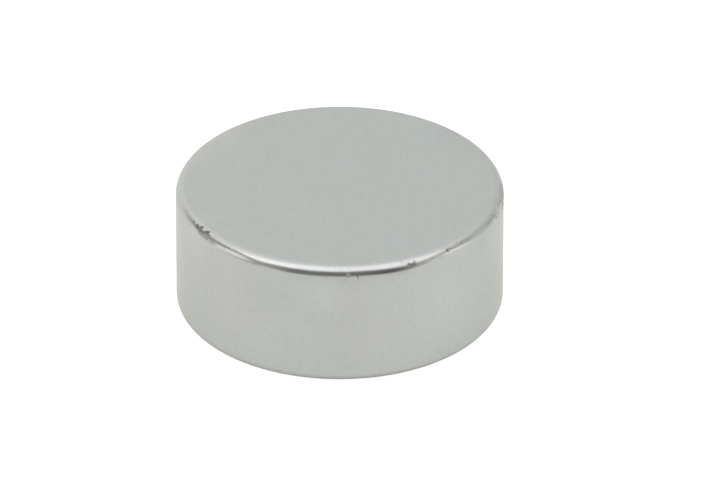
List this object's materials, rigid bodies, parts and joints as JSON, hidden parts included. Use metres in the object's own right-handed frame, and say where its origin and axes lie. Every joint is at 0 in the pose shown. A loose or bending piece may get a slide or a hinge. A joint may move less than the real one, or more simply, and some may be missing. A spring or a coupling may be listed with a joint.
{
  "type": "disc magnet",
  "caption": "Plain plated disc magnet with flat faces and rounded edges, for holding, closing or sensing in a round pocket.",
  "frame": {"origin": "centre of the bottom face, which is the face it rests on", "axes": "+Z along the magnet's own axis, out of the top face; the side with the worn edge faces -Y"},
  "size_m": [0.025, 0.025, 0.01],
  "materials": {
    "nickel_plate": "semi-bright nickel plate over a sintered magnet, satin on the faces, with small nicks in the rounded edges"
  },
  "bodies": {
    "root": {"magnet_disc": "nickel_plate"}
  },
  "joints": []
}
